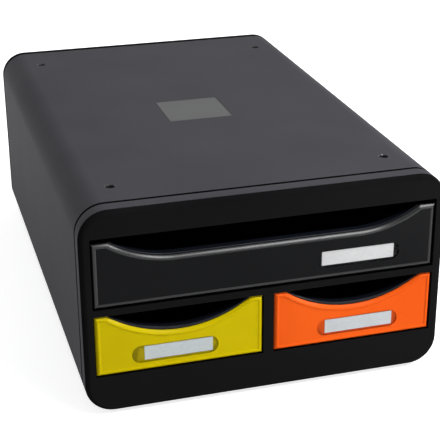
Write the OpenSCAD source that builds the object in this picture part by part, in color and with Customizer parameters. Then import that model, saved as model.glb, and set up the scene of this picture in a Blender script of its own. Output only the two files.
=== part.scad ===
// Desk drawer box: a rounded sleeve with a front frame, one full-width drawer
// above two half-width drawers, each with an inset face and a label window.
// X runs to the right, the drawers face -Y, Z is up and z = 0 is the desk.

/* [Case] */
// Overall width
case_w = 255; // [245:1:275]
// Overall depth, from the front frame's face to the rear panel
case_d = 384; // [350:1:400]
// Height of the case without its feet
case_h = 147; // [140:0.5:155]
// Radius of the four long edges
corner_r = 20; // [17:0.5:22]
// Wall thickness of the moulded casing
wall = 2.6; // [2.2:0.1:3]
// Height of the feet under the case
foot_h = 2.5; // [2:0.1:3]

/* [Front frame] */
// Depth of the frame's outer band, in front of the groove
band_d = 14; // [11:0.5:16]
// Width of the groove between the band and the casing
groove_w = 1.4; // [0.8:0.1:1.8]
// Width of the upright bars beside the drawers
side_bar = 7.2; // [6.8:0.1:8.4]
// Height of the bar under the lower drawers
bottom_bar = 27.9; // [25:0.1:30]
// Height of the bar over the upper drawer
top_bar = 18.8; // [16:0.1:21]
// Thickness of the bar between the upper and the lower drawers
cross_bar = 4.9; // [4.6:0.1:6]
// Width of the upright bar between the lower drawers
mullion_w = 7.2; // [6:0.1:9]
// Size of the rounded shoulder round the frame's face
shoulder = 4; // [2:0.5:5]

/* [Drawers] */
// Height of the upper drawer's front
upper_front_h = 46.1; // [42:0.1:48]
// Thickness of a drawer's front
front_t = 5; // [4.6:0.1:6]
// Thickness of a drawer's walls and floor
tray_t = 1.8; // [1.5:0.1:2.2]
// Thickness of a drawer's coloured face
face_t = 2.6; // [2.4:0.1:3]
// Width of the raised rim round a drawer's face
rim_w = 3.2; // [1.5:0.1:4]
// Height of the raised rim round a drawer's face
rim_h = 0.5; // [0.3:0.1:0.7]
// Depth of the finger scoop in the upper drawer's top edge
upper_scoop_d = 14; // [12:0.1:16]
// Depth of the finger scoop in a lower drawer's top edge
lower_scoop_d = 15.6; // [12:0.1:16]
// How far a drawer pulls out
travel = 270; // [200:5:280]

/* [Label windows] */
// Width of a label window
window_w = 60; // [50:1:64]
// Height of a label window
window_h = 12.8; // [11:0.1:14]
// Thickness of a label card
card_t = 0.4; // [0.3:0.1:0.5]

/* [Hidden] */

shell_color = [0.27, 0.27, 0.29];
frame_color = [0.09, 0.09, 0.09];
rim_color = [0.06, 0.06, 0.06];
yellow = [0.80, 0.74, 0.02];
orange = [0.96, 0.36, 0.10];
plate_color = [0.45, 0.45, 0.46];

// Clearances
fit = 0.1;            // between pieces that are pressed together
run = 0.3;            // under and over a piece that slides
front_gap = 0.7;      // round a drawer's front
finger_gap = 3.7;     // over the upper drawer's front

// Case, measured along Y from the front face
half_w = case_w / 2;
front_y = -case_d / 2;
rear_y = case_d / 2;
band_y = front_y + band_d;
collar_l = 11;
collar_t = 2.2;
collar_y = band_y + collar_l;
shell_y = band_y + groove_w;
rear_t = 2.5;
rear_rim = 4.5;
rear_inner_y = rear_y - rear_rim;
rear_collar_l = 8;
inner_front_y = collar_y + run;
inner_rear_y = rear_inner_y - rear_collar_l - run;
inner_x = half_w - wall;
ceiling_z = foot_h + case_h - wall;
floor_z = foot_h + wall;
arc_fn = 64;

// Openings of the front frame
open_x = half_w - side_bar;
lower_open_z = foot_h + bottom_bar;
upper_open_top = foot_h + case_h - top_bar;
upper_open_z = upper_open_top - upper_front_h - front_gap - finger_gap;
lower_open_top = upper_open_z - cross_bar;
open_r = 1;
face_skin = 3;
liner_t = 2;

// Drawer fronts
upper_z0 = upper_open_z + front_gap;
upper_z1 = upper_z0 + upper_front_h;
lower_z0 = lower_open_z + front_gap;
lower_z1 = lower_open_top - front_gap;
front_x1 = open_x - front_gap;
lower_x0 = mullion_w / 2 + front_gap;
lower_mid_x = (lower_x0 + front_x1) / 2;
front_r = 1.2;
upper_shoulder = 11;
lower_shoulder = 7.8;
upper_scoop_run = 45;
lower_scoop_run = (front_x1 - lower_x0) / 2 - lower_shoulder;
upper_scoop_flat = front_x1 - upper_shoulder - upper_scoop_run;

// Trays behind the fronts
side_inset = 0.4;
lip_rise = 0.8;       // of the tray's lip over the face's edge
lip_d = 4;            // how far the lip rolls back
lip_t = 2;
tray_y = inner_rear_y - 5;
tray_r = 3;
upper_wall_z = upper_z1 - 4;
lower_wall_z = lower_z1 - 2;

// Faces and label windows
face_y = front_y + rim_h;
window_t = 1.5;
pocket_y = face_y + window_t;
card_w = window_w - 7.5;
card_h = window_h - 2.6;
upper_label_in = 55.2;  // from the drawer's right end
upper_label_up = 14.7;
lower_label_up = 12.1;
lower_label_off = 3.5;  // from the drawer's middle
upper_label_z = upper_z0 + upper_label_up;
upper_label_x = front_x1 - upper_label_in;
lower_label_z = lower_z0 + lower_label_up;
lower_label_x = lower_mid_x + lower_label_off;

// Runners, deck, shelf and stops
rib_h = 1;
rib_w = 3;
deck_t = 2;
deck_top = lower_z0 - run - rib_h;
shelf_t = 2.2;
shelf_top = upper_z0 - run - rib_h;
ledge_h = 4;
steer_up = 4;         // of the steering ribs over a drawer's underside
guide_x = front_x1 + run + 0.3;
guide_t = 2;
guide_leg = 10;
guide_z = upper_wall_z + 0.5;
tab_w = 10;
tab_l = 6;
tab_y = tray_y - 10;
slot_w = tab_w + 2;
slot_front = tab_y - travel - run;
slot_rear = tray_y + 2;
partition_t = 2.2;
brace_t = 2;
brace_shares = [-0.72, -0.27, 0.27, 0.72];  // places of the deck's long ribs, of half the width
cross_shares = [-0.31, 0.31];               // places of its cross ribs, of half the depth
snap_share = 0.47;                          // place of the snaps, of half the width
snap_w = 16;
snap_d = 3;
snap_h = 1;

// Stacking sockets and feet
socket_side_in = 29.8;
socket_front_in = 41.5;
socket_rear_in = 44.5;
socket_x = half_w - socket_side_in;
socket_front_y = front_y + socket_front_in;
socket_rear_y = rear_y - socket_rear_in;
socket_r = 3.2;
boss_r = 5.6;
boss_h = 6;
stud_r = 3;
stem_r = 1.8;
head_r = 3.8;
head_h = 1.2;

// Bare plate in the lid
plate_w = 49;
plate_l = 48;
plate_t = 0.8;
plate_x = -3;
plate_y = -10;

// ---- Shared outlines ----

// Rectangle with four round corners, between two X and two Z values
module round_rect(x0, x1, z0, z1, r) {
    translate([x0 + r, z0]) square([x1 - x0 - 2 * r, z1 - z0]);
    translate([x0, z0 + r]) square([x1 - x0, z1 - z0 - 2 * r]);
    for (x = [x0 + r, x1 - r], z = [z0 + r, z1 - r])
        translate([x, z]) circle(r, $fn = arc_fn);
}

// Turns a flat X-Z outline into a prism between two Y values
module along_y(y0, y1) {
    translate([0, y1, 0]) rotate([90, 0, 0]) linear_extrude(y1 - y0) children();
}

// The case's cross-section, drawn in by an even inset
module case_outline(inset) {
    round_rect(-half_w + inset, half_w - inset, foot_h + inset, foot_h + case_h - inset,
        corner_r - inset);
}

// Section of a collar that fits the casing on its flats and clears its corners
module collar_outline(inset) {
    round_rect(-half_w + inset, half_w - inset, foot_h + inset, foot_h + case_h - inset,
        corner_r - inset + 0.6);
}

module box(x0, x1, y0, y1, z0, z1) {
    translate([x0, y0, z0]) cube([x1 - x0, y1 - y0, z1 - z0]);
}

module mirrored_pair() {
    children();
    mirror([1, 0, 0]) children();
}

// ---- Case ----

module socket_places() {
    for (x = [-socket_x, socket_x], y = [socket_front_y, socket_rear_y])
        translate([x, y, 0]) children();
}

// Ledges that carry the shelf, and side ribs that steer the drawers
module shell_ledges() {
    mirrored_pair() {
        box(guide_x, inner_x + wall / 2, inner_front_y, inner_rear_y,
            shelf_top - shelf_t - ledge_h, shelf_top - shelf_t);
        for (z = [lower_z0 + steer_up, upper_z0 + steer_up])
            box(guide_x, inner_x + wall / 2, inner_front_y, inner_rear_y, z, z + rib_w);
    }
}

module case_shell() {
    color(shell_color) difference() {
        union() {
            difference() {
                along_y(shell_y, rear_inner_y) case_outline(0);
                along_y(shell_y - 1, rear_inner_y + 1) case_outline(wall);
            }
            shell_ledges();
            socket_places() translate([0, 0, ceiling_z - boss_h])
                cylinder(h = boss_h + wall / 2, r = boss_r, $fn = arc_fn);
        }
        socket_places() translate([0, 0, ceiling_z - boss_h - 1])
            cylinder(h = boss_h + wall + 2, r = socket_r, $fn = arc_fn);
        socket_places() translate([0, 0, foot_h - 1])
            cylinder(h = wall + 2, r = stem_r + fit, $fn = arc_fn);
        box(plate_x - plate_w / 2 - fit, plate_x + plate_w / 2 + fit,
            plate_y - plate_l / 2 - fit, plate_y + plate_l / 2 + fit,
            ceiling_z + wall - plate_t, ceiling_z + wall + 1);
        snap_blocks(fit);
    }
}

// Snap ridges on the front frame's collar and the pockets that they click into
module snap_blocks(grow) {
    snap_y = collar_y - snap_d - 2;
    for (side = [-1, 1]) {
        x0 = side * snap_share * half_w - snap_w / 2;
        box(x0 - grow, x0 + snap_w + grow, snap_y - grow, snap_y + snap_d + grow,
            ceiling_z - 1, ceiling_z + snap_h + grow);
        box(x0 - grow, x0 + snap_w + grow, snap_y - grow, snap_y + snap_d + grow,
            floor_z - snap_h - grow, floor_z + 1);
    }
}

// The three openings, grown outwards by an even margin
module frame_openings(grow) {
    round_rect(-open_x - grow, open_x + grow, upper_open_z - grow, upper_open_top + grow,
        open_r + grow);
    mirrored_pair()
        round_rect(mullion_w / 2 - grow, open_x + grow, lower_open_z - grow,
            lower_open_top + grow, open_r + grow);
}

// Thin slice of the frame's outline, for the rounded shoulder
module shoulder_slice(y, inset) {
    along_y(y, y + 0.01) round_rect(-half_w + inset, half_w - inset, foot_h + inset,
        foot_h + case_h - inset, corner_r - inset, $fn = 32);
}

module front_frame() {
    bend = shoulder * (1 - sqrt(0.5));
    color(frame_color) difference() {
        union() {
            along_y(front_y + shoulder, band_y) case_outline(0);
            hull() {
                shoulder_slice(front_y + shoulder, 0);
                shoulder_slice(front_y + bend, bend);
                shoulder_slice(front_y, shoulder);
            }
            along_y(band_y - 1, collar_y) collar_outline(wall);
            snap_blocks(0);
        }
        along_y(front_y + face_skin, collar_y + 1) difference() {
            collar_outline(wall + collar_t);
            frame_openings(liner_t);
        }
        along_y(band_y + liner_t, collar_y + 1) collar_outline(wall + collar_t);
        along_y(front_y - 1, collar_y + 1) frame_openings(0);
    }
}

// Ribs on the rear panel that the closed trays stop against
module rear_stops() {
    stop_y = tray_y + run;
    plate_in_y = rear_y - rear_t + 0.5;
    mirrored_pair() {
        box(lower_mid_x - brace_t / 2, lower_mid_x + brace_t / 2, stop_y, plate_in_y,
            lower_z0 + 6, lower_wall_z - 4);
        box(lower_mid_x - brace_t / 2, lower_mid_x + brace_t / 2, stop_y, plate_in_y,
            upper_z0 + 6, upper_wall_z - 4);
    }
}

// Rear cover: a plate with a deep rim, and a collar that plugs into the casing
module rear_panel() {
    color(frame_color) {
        difference() {
            union() {
                along_y(rear_inner_y, rear_y) case_outline(0);
                along_y(rear_inner_y - rear_collar_l, rear_inner_y + 1) collar_outline(wall);
            }
            along_y(rear_inner_y - rear_collar_l - 1, rear_y - rear_t)
                collar_outline(wall + collar_t);
        }
        rear_stops();
    }
}

// Two runner ribs under each lower drawer, one pair per half
module runner_pair(x0, x1, top) {
    for (x = [x0 + 12, x1 - 12])
        box(x - rib_w / 2, x + rib_w / 2, inner_front_y, inner_rear_y, top - 1, top + rib_h);
}

module base_deck() {
    color(frame_color) difference() {
        union() {
            box(-inner_x + fit, inner_x - fit, inner_front_y, inner_rear_y,
                deck_top - deck_t, deck_top);
            for (share = brace_shares)
                translate([share * inner_x, 0, 0]) box(-brace_t / 2, brace_t / 2,
                    inner_front_y, inner_rear_y, floor_z, deck_top - 1);
            for (share = cross_shares)
                translate([0, share * rear_y, 0]) box(brace_shares[0] * inner_x,
                    brace_shares[3] * inner_x, 0, brace_t, floor_z, deck_top - 1);
            mirrored_pair() runner_pair(lower_x0, front_x1, deck_top);
        }
        mirrored_pair() box(lower_mid_x - slot_w / 2, lower_mid_x + slot_w / 2,
            slot_front, slot_rear, deck_top - deck_t - 1, deck_top + 1);
    }
}

module divider_shelf() {
    color(frame_color) difference() {
        union() {
            box(-inner_x + fit, inner_x - fit, inner_front_y, inner_rear_y,
                shelf_top - shelf_t, shelf_top);
            runner_pair(-front_x1, front_x1, shelf_top);
        }
        box(-slot_w / 2, slot_w / 2, slot_front, slot_rear,
            shelf_top - shelf_t - 1, shelf_top + 1);
    }
}

// Upright wall between the lower drawers, with a steering rib on each face
module centre_partition() {
    color(frame_color) {
        box(-partition_t / 2, partition_t / 2, inner_front_y, inner_rear_y,
            deck_top, shelf_top - shelf_t);
        box(-mullion_w / 2 - run, mullion_w / 2 + run, inner_front_y, inner_rear_y,
            lower_z0 + steer_up, lower_z0 + steer_up + rib_w);
    }
}

// L-shaped rail on the side wall, over the upper drawer's side
module drawer_guide() {
    color(frame_color) {
        box(inner_x - guide_t, inner_x, inner_front_y, inner_rear_y, guide_z - guide_leg,
            guide_z + guide_t);
        box(front_x1 - side_inset - tray_t - 1, inner_x, inner_front_y, inner_rear_y,
            guide_z, guide_z + guide_t);
    }
}

module top_plate() {
    color(plate_color)
        box(plate_x - plate_w / 2, plate_x + plate_w / 2, plate_y - plate_l / 2,
            plate_y + plate_l / 2, ceiling_z + wall - plate_t, ceiling_z + wall);
}

// Rubber stud: a tip that fits the socket of the box below, a stem and a head
module foot(x, y) {
    color(frame_color) translate([x, y, 0]) {
        cylinder(h = foot_h, r = stud_r, $fn = arc_fn);
        cylinder(h = floor_z + head_h, r = stem_r, $fn = arc_fn);
        translate([0, 0, floor_z]) cylinder(h = head_h, r = head_r, $fn = arc_fn);
    }
}

// ---- Drawers ----

// Cut of the finger scoop: a flat middle with a large arc at each end
module scoop(mid_x, z1, flat, reach, depth, grow) {
    radius = (reach * reach + depth * depth) / (2 * depth);
    arc_z = z1 - depth + radius;
    for (side = [-1, 1])
        translate([mid_x + side * flat, arc_z]) circle(radius + grow, $fn = 4 * arc_fn);
    if (flat > 0)
        translate([mid_x - flat, z1 - depth - grow]) square([2 * flat, depth + 20]);
}

// Outline of a drawer's front, drawn in by an even inset
module front_outline(x0, x1, z0, z1, flat, reach, depth, inset, scoop_grow) {
    difference() {
        round_rect(x0 + inset, x1 - inset, z0 + inset, z1 - inset, max(front_r - inset, 0.3));
        scoop((x0 + x1) / 2, z1, flat, reach, depth, scoop_grow);
    }
}

// Window outline: straight top and bottom with round ends
module stadium(x, z, w, h) {
    translate([x - w / 2 + h / 2, z - h / 2]) square([w - h, h]);
    for (side = [-1, 1])
        translate([x + side * (w - h) / 2, z]) circle(d = h, $fn = arc_fn);
}

// Open tray with its front wall, a lip that rolls back along the scoop, and a stop tab
module drawer_tray(x0, x1, z0, z1, wall_z, flat, reach, depth) {
    mid_x = (x0 + x1) / 2;
    in_x0 = x0 + side_inset + tray_t;
    in_x1 = x1 - side_inset - tray_t;
    in_y0 = front_y + front_t;
    in_y1 = tray_y - tray_t;
    color(rim_color) {
        along_y(front_y + face_t, in_y0)
            front_outline(x0, x1, z0, z1, flat, reach, depth, 0, -lip_rise);
        along_y(in_y0 - 1, in_y0 + lip_d) difference() {
            intersection() {
                translate([in_x0, z0]) square([in_x1 - in_x0, wall_z - z0]);
                scoop(mid_x, z1, flat, reach, depth, lip_t - lip_rise);
            }
            scoop(mid_x, z1, flat, reach, depth, -lip_rise);
        }
        difference() {
            box(x0 + side_inset, x1 - side_inset, in_y0 - 1, tray_y, z0, wall_z);
            translate([0, 0, z0 + tray_t]) linear_extrude(wall_z - z0)
                round_rect(in_x0, in_x1, in_y0, in_y1, tray_r);
            along_y(front_y, in_y0) scoop(mid_x, z1, flat, reach, depth, -lip_rise);
        }
        box(mid_x - tab_w / 2, mid_x + tab_w / 2, tab_y, tab_y + tab_l,
            z0 - run - rib_h - deck_t + 0.5, z0 + 1);
    }
}

// Coloured face with a raised rim and a blind pocket for the label window
module drawer_face(x0, x1, z0, z1, flat, reach, depth, label_x, label_z) {
    difference() {
        along_y(front_y, front_y + face_t)
            front_outline(x0, x1, z0, z1, flat, reach, depth, 0, 0);
        along_y(front_y - 1, face_y)
            front_outline(x0, x1, z0, z1, flat, reach, depth, rim_w, rim_w);
        along_y(front_y - 1, pocket_y) stadium(label_x, label_z, window_w, window_h);
    }
}

// Clear window with a shallow pocket behind it for the card
module label_window(label_x, label_z) {
    color([0.8, 0.85, 0.88, 0.4]) difference() {
        along_y(face_y, pocket_y)
            stadium(label_x, label_z, window_w - 2 * fit, window_h - 2 * fit);
        box(label_x - card_w / 2 - fit, label_x + card_w / 2 + fit, pocket_y - card_t,
            pocket_y + 1, label_z - card_h / 2 - fit, label_z + card_h / 2 + fit);
    }
}

module label_card(label_x, label_z) {
    color("white") box(label_x - card_w / 2, label_x + card_w / 2, pocket_y - card_t,
        pocket_y, label_z - card_h / 2, label_z + card_h / 2);
}

module upper_tray() {
    drawer_tray(-front_x1, front_x1, upper_z0, upper_z1, upper_wall_z, upper_scoop_flat,
        upper_scoop_run, upper_scoop_d);
}

module upper_face() {
    color(frame_color) drawer_face(-front_x1, front_x1, upper_z0, upper_z1,
        upper_scoop_flat, upper_scoop_run, upper_scoop_d, upper_label_x, upper_label_z);
}

// The lower drawers are drawn for the right-hand side
module lower_tray() {
    drawer_tray(lower_x0, front_x1, lower_z0, lower_z1, lower_wall_z, 0, lower_scoop_run,
        lower_scoop_d);
}

module lower_face(face_color) {
    color(face_color) drawer_face(lower_x0, front_x1, lower_z0, lower_z1, 0,
        lower_scoop_run, lower_scoop_d, lower_label_x, lower_label_z);
}

module to_left() {
    mirror([1, 0, 0]) children();
}

case_shell();
front_frame();
rear_panel();
base_deck();
divider_shelf();
centre_partition();
to_left() drawer_guide();  // drawer_guide_left
drawer_guide();  // drawer_guide_right
top_plate();
foot(-socket_x, socket_front_y);  // foot_front_left
foot(socket_x, socket_front_y);  // foot_front_right
foot(-socket_x, socket_rear_y);  // foot_rear_left
foot(socket_x, socket_rear_y);  // foot_rear_right
upper_tray();  // upper_drawer_tray
upper_face();  // upper_drawer_face
label_window(upper_label_x, upper_label_z);  // upper_label_window
label_card(upper_label_x, upper_label_z);  // upper_label_card
to_left() lower_tray();  // left_drawer_tray
to_left() lower_face(yellow);  // left_drawer_face
to_left() label_window(lower_label_x, lower_label_z);  // left_label_window
to_left() label_card(lower_label_x, lower_label_z);  // left_label_card
lower_tray();  // right_drawer_tray
lower_face(orange);  // right_drawer_face
label_window(lower_label_x, lower_label_z);  // right_label_window
label_card(lower_label_x, lower_label_z);  // right_label_card
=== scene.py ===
# %% [markdown]
# # A desk drawer box
# A low box for a desk: a rounded casing with a fine matte grain, a satin front frame, one wide drawer
# over two narrow ones, and clear windows for the labels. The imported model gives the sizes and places.
# This file dresses it: each piece that shows is modelled again with soft moulded edges, and gets a
# finish. Its box is read from the frame, so the dressed piece sits where the solid does.

# %% Load the frame
import math

import bmesh
import bpy
from mathutils import Matrix, Vector


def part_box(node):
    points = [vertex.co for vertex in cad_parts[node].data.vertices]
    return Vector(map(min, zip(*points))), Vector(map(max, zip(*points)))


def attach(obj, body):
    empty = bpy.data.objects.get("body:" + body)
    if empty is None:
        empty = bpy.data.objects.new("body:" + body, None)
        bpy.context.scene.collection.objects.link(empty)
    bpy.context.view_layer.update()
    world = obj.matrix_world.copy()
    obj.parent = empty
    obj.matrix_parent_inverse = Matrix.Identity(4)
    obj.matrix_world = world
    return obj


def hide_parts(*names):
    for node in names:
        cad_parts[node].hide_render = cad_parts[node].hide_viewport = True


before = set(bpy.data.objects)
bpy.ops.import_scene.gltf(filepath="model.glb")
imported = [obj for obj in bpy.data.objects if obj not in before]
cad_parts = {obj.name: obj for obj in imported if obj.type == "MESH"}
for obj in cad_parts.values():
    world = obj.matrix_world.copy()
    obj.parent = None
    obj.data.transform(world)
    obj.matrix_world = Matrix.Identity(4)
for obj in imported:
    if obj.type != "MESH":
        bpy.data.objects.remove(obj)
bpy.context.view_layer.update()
MM = 0.001

# %% [markdown]
# ## Reading places from the frame
# A moulded box is full of repeated measures: wall thickness, corner radius, rim width. They could be
# typed into every piece, but then one change would have to be made in many places. Here each box is
# read once from its solid. What a box can't tell is named below where the whole case shares it, and
# beside its own piece where it doesn't.

# %% Measures of the case
CORNER_R = 20.0 * MM
CASE_SEGMENTS = 24  # in each large round corner
WALL = 2.6 * MM
COLLAR_GAP = 0.1 * MM
COLLAR_WALL = 2.2 * MM
REAR_RIM = 7.5 * MM
OVERCUT = 1.0 * MM  # how far a cutter sticks out of what it cuts
NEAR = 1e-6  # places closer than this, in metres, count as one
SQUARELY = 0.95  # a normal's part along an axis, above which a face looks straight that way
TURNED_SEGMENTS = 32  # in a full turn of a small round shape

casing_low, casing_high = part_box("case_shell")
frame_low, frame_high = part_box("front_frame")
rear_low, rear_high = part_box("rear_panel")
print("casing in mm:", [round(v / MM, 1) for v in casing_high - casing_low])

# %% [markdown]
# ## Building blocks for moulded pieces
# Nearly every piece here is a flat outline with depth: the casing, the frame, the drawer fronts. So the
# helpers start from a face with four corners, round those corners with a vertex bevel, and extrude it.
# A bevel of vertices gives a true arc and costs one line, where placing arc points by hand would need a
# formula for each corner. The few plain boxes start from a cube that is stretched between two corners.


# %% Faces and blocks
def corner_face(bm, x0, x1, z0, z1, y):
    """A four-cornered face that looks forward, at one depth."""
    corners = [(x0, y, z0), (x1, y, z0), (x1, y, z1), (x0, y, z1)]
    bm.faces.new([bm.verts.new(c) for c in corners])


def level_face(bm, x0, x1, y0, y1, z):
    """A four-cornered face that looks up, at one height."""
    corners = [(x0, y0, z), (x1, y0, z), (x1, y1, z), (x0, y1, z)]
    bm.faces.new([bm.verts.new(c) for c in corners])


def block(bm, low, high):
    """A plain block between two corners."""
    place = Matrix.Translation((low + high) / 2) @ Matrix.Diagonal((*(high - low), 1))
    bmesh.ops.create_cube(bm, size=1, matrix=place)


# %% [markdown]
# A flat outline becomes a slab by an extrusion. Its round corners are bevelled while it is still flat,
# because on a slab the same bevel would only clip the corners. A second bevel, of the edges at one end,
# then rolls that end over. These edges could be picked by number, but they are found by their depth,
# which stays true when the outline gets more or fewer points.


# %% Rounding and depth
def round_verts(bm, verts, radius, segments):
    """Rounds the corners of a flat outline."""
    bmesh.ops.bevel(bm, geom=list(verts), offset=radius, offset_type="OFFSET", affect="VERTICES",
                    segments=segments, profile=0.5, material=-1)


def edges_at(bm, y):
    """The edges that lie at one depth."""
    return [e for e in bm.edges if all(abs(v.co.y - y) < NEAR for v in e.verts)]


def round_edges(bm, edges, width, segments, profile=0.5):
    """Bevels edges. A profile of a half makes an arc, and a quarter a flat slope."""
    bmesh.ops.bevel(bm, geom=edges, offset=width, offset_type="OFFSET", affect="EDGES",
                    segments=segments, profile=profile, material=-1)


def deepen(bm, faces, depth, way=(0, 1, 0)):
    """Extrudes faces along a direction and returns the faces at the far end."""
    made = bmesh.ops.extrude_face_region(bm, geom=list(faces))
    moved = [g for g in made["geom"] if isinstance(g, bmesh.types.BMVert)]
    bmesh.ops.translate(bm, verts=moved, vec=Vector(way) * depth)
    return [g for g in made["geom"] if isinstance(g, bmesh.types.BMFace)]


def face_front_is_out(bm):
    """Merges doubles and points all faces of a closed mesh outwards."""
    bmesh.ops.remove_doubles(bm, verts=bm.verts[:], dist=NEAR)
    bmesh.ops.recalc_face_normals(bm, faces=bm.faces[:])


def rounded_slab(bm, x0, x1, z0, z1, y0, y1, radius, segments):
    """A plate with four round corners, between two depths."""
    corner_face(bm, x0, x1, z0, z1, y0)
    round_verts(bm, bm.verts[:], radius, segments)
    deepen(bm, bm.faces[:], y1 - y0)
    face_front_is_out(bm)


# %% [markdown]
# ## From mesh to piece
# A mesh becomes an object with its finishes. Thin mouldings get their wall from a modifier, and small
# edge radii are left to one as well, where an angle limit finds the edges all at once. Modifiers could
# stay live, but they are applied, so the mesh is just what is rendered.


# %% Objects and modifiers
def applied(obj):
    """Turns an object's modifiers into its mesh."""
    graph = bpy.context.evaluated_depsgraph_get()
    mesh = bpy.data.meshes.new_from_object(obj.evaluated_get(graph))
    obj.modifiers.clear()
    obj.data = mesh
    return obj


def new_object(name, bm, *finishes):
    """Makes an object of a bmesh. Each face picks one of the finishes by its material index."""
    mesh = bpy.data.meshes.new(name)
    bm.to_mesh(mesh)
    bm.free()
    for finish in finishes:
        mesh.materials.append(finish)
    obj = bpy.data.objects.new(name, mesh)
    bpy.context.scene.collection.objects.link(obj)
    return obj


def walled(obj, thickness):
    """Gives an open shell a wall that grows inwards."""
    skin = obj.modifiers.new("wall", "SOLIDIFY")
    skin.thickness = thickness
    skin.offset = -1
    return applied(obj)


def soften(obj, width, segments=3, angle=30):
    """Rounds every edge that is sharper than the angle."""
    edge = obj.modifiers.new("soft_edges", "BEVEL")
    edge.width = width
    edge.segments = segments
    edge.limit_method = "ANGLE"
    edge.angle_limit = math.radians(angle)
    edge.use_clamp_overlap = True
    return applied(obj)


# %% [markdown]
# Holes could be part of each outline, but a cut by another shape is easier to read, and the hole keeps
# its own measures. Parts that are moulded in one, such as a tray and its lip, overlap a little and are
# joined as meshes. A boolean union would look the same and take longer.


# %% Cuts and joins
def cut(obj, *tools):
    """Takes the tools' shapes out of a piece, then removes the tools."""
    for tool in tools:
        taken = obj.modifiers.new("cut", "BOOLEAN")
        taken.operation = "DIFFERENCE"
        taken.solver = "EXACT"
        taken.object = tool
        applied(obj)
    for tool in tools:
        bpy.data.objects.remove(tool)
    return obj


def joined(target, *others):
    """Adds the meshes of other objects to a piece."""
    bm = bmesh.new()
    bm.from_mesh(target.data)
    for other in others:
        bm.from_mesh(other.data)
        bpy.data.objects.remove(other)
    bm.to_mesh(target.data)
    bm.free()
    return target


# %% [markdown]
# The last step is the same for each piece: smooth shading with crisp creases, a body to ride on, and
# the solid that it stands for. Cuts leave long thin faces on a flat lid, and plain smooth shading shows
# them as faint lines. Normals that are weighted by area hide them.


# %% Finishing a piece
def finished(obj, body, node, crease=40):
    """Shades a piece evenly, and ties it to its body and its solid."""
    obj.data.polygons.foreach_set("use_smooth", [True] * len(obj.data.polygons))
    obj.data.set_sharp_from_angle(angle=math.radians(crease))
    even = obj.modifiers.new("even_shading", "WEIGHTED_NORMAL")
    even.mode = "FACE_AREA"
    even.weight = 100
    even.keep_sharp = True
    applied(obj)
    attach(obj, body)
    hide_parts(node)
    print(obj.name, "faces:", len(obj.data.polygons))


# %% [markdown]
# ## Finishes
# All of the box is moulded plastic, so the finishes differ in colour, gloss and grain. A single colour
# looks like paint. Real mouldings show a fine spark-eroded grain, and a slow drift of colour where the
# melt cooled. Each finish below mixes these at the right scale in object space, lets its roughness
# follow the grain, and keeps plain numbers on the shader's own sockets.


# %% Moulded plastic
def moulded(name, colour, tint, roughness, spread, grain_size, grain_depth, shine):
    """A plastic whose colour drifts to the tint and whose roughness spreads with its raised grain."""
    material = bpy.data.materials.new(name)
    material.use_nodes = True
    nodes = material.node_tree.nodes
    links = material.node_tree.links
    shader = nodes["Principled BSDF"]
    place = nodes.new("ShaderNodeTexCoord")

    drift = nodes.new("ShaderNodeTexNoise")
    drift.inputs["Scale"].default_value = 14.0
    drift.inputs["Detail"].default_value = 3.0
    links.new(place.outputs["Object"], drift.inputs["Vector"])

    shades = nodes.new("ShaderNodeValToRGB")
    shades.color_ramp.elements[0].position = 0.32
    shades.color_ramp.elements[0].color = (*colour, 1)
    shades.color_ramp.elements[1].position = 0.72
    shades.color_ramp.elements[1].color = (*tint, 1)
    links.new(drift.outputs["Fac"], shades.inputs["Fac"])
    links.new(shades.outputs["Color"], shader.inputs["Base Color"])

    grain = nodes.new("ShaderNodeTexNoise")
    grain.inputs["Scale"].default_value = 1.0 / grain_size
    grain.inputs["Detail"].default_value = 2.0
    links.new(place.outputs["Object"], grain.inputs["Vector"])

    sheen = nodes.new("ShaderNodeMapRange")
    sheen.inputs["To Min"].default_value = roughness - spread
    sheen.inputs["To Max"].default_value = roughness + spread
    links.new(grain.outputs["Fac"], sheen.inputs["Value"])
    links.new(sheen.outputs["Result"], shader.inputs["Roughness"])

    raised = nodes.new("ShaderNodeBump")
    raised.inputs["Strength"].default_value = 1.0
    raised.inputs["Distance"].default_value = grain_depth
    links.new(grain.outputs["Fac"], raised.inputs["Height"])
    links.new(raised.outputs["Normal"], shader.inputs["Normal"])

    shader.inputs["IOR"].default_value = 1.5
    shader.inputs["Specular IOR Level"].default_value = shine
    print("finish:", material.name)
    return material


# %% [markdown]
# The case's finishes. The casing is dark grey and dull, and the frame almost black with a satin gloss.
# The frame's shoulder, the groove and the rear cover get a black that mirrors nothing, because even a
# weak mirror image of the pale room would turn them grey where they are seen at a low angle. In the
# groove this black, darker than the casing, is a painted shade, and on the frame's outer band the
# casing's grain is a painted sheen. The sockets are glossier than the lid, so that light gleams in them.

# %% Finishes of the case
casing_finish = moulded(
    "casing_grain", colour=(0.046, 0.045, 0.052), tint=(0.053, 0.052, 0.059),
    roughness=0.72, spread=0.06, grain_size=0.9 * MM, grain_depth=0.05 * MM, shine=0.05)
frame_finish = moulded(
    "frame_satin", colour=(0.0024, 0.0024, 0.0028), tint=(0.0035, 0.0035, 0.0040),
    roughness=0.4, spread=0.05, grain_size=0.7 * MM, grain_depth=0.015 * MM, shine=0.039)
# dull black: the shoulder's and rear cover's finish, and the painted shade in the groove
matte_black_and_groove_shade = moulded(
    "matte_black_and_groove_shade", colour=(0.0065, 0.0065, 0.007), tint=(0.0085, 0.0085, 0.009),
    roughness=0.6, spread=0.05, grain_size=0.7 * MM, grain_depth=0.015 * MM, shine=0.0)
inner_finish = moulded(
    "inner_black", colour=(0.005, 0.005, 0.005), tint=(0.008, 0.008, 0.008),
    roughness=0.5, spread=0.05, grain_size=1.2 * MM, grain_depth=0.02 * MM, shine=0.15)
socket_finish = moulded(
    "socket_gloss", colour=(0.02, 0.02, 0.022), tint=(0.03, 0.03, 0.033),
    roughness=0.15, spread=0.03, grain_size=1.0 * MM, grain_depth=0.004 * MM, shine=0.5)
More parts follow.
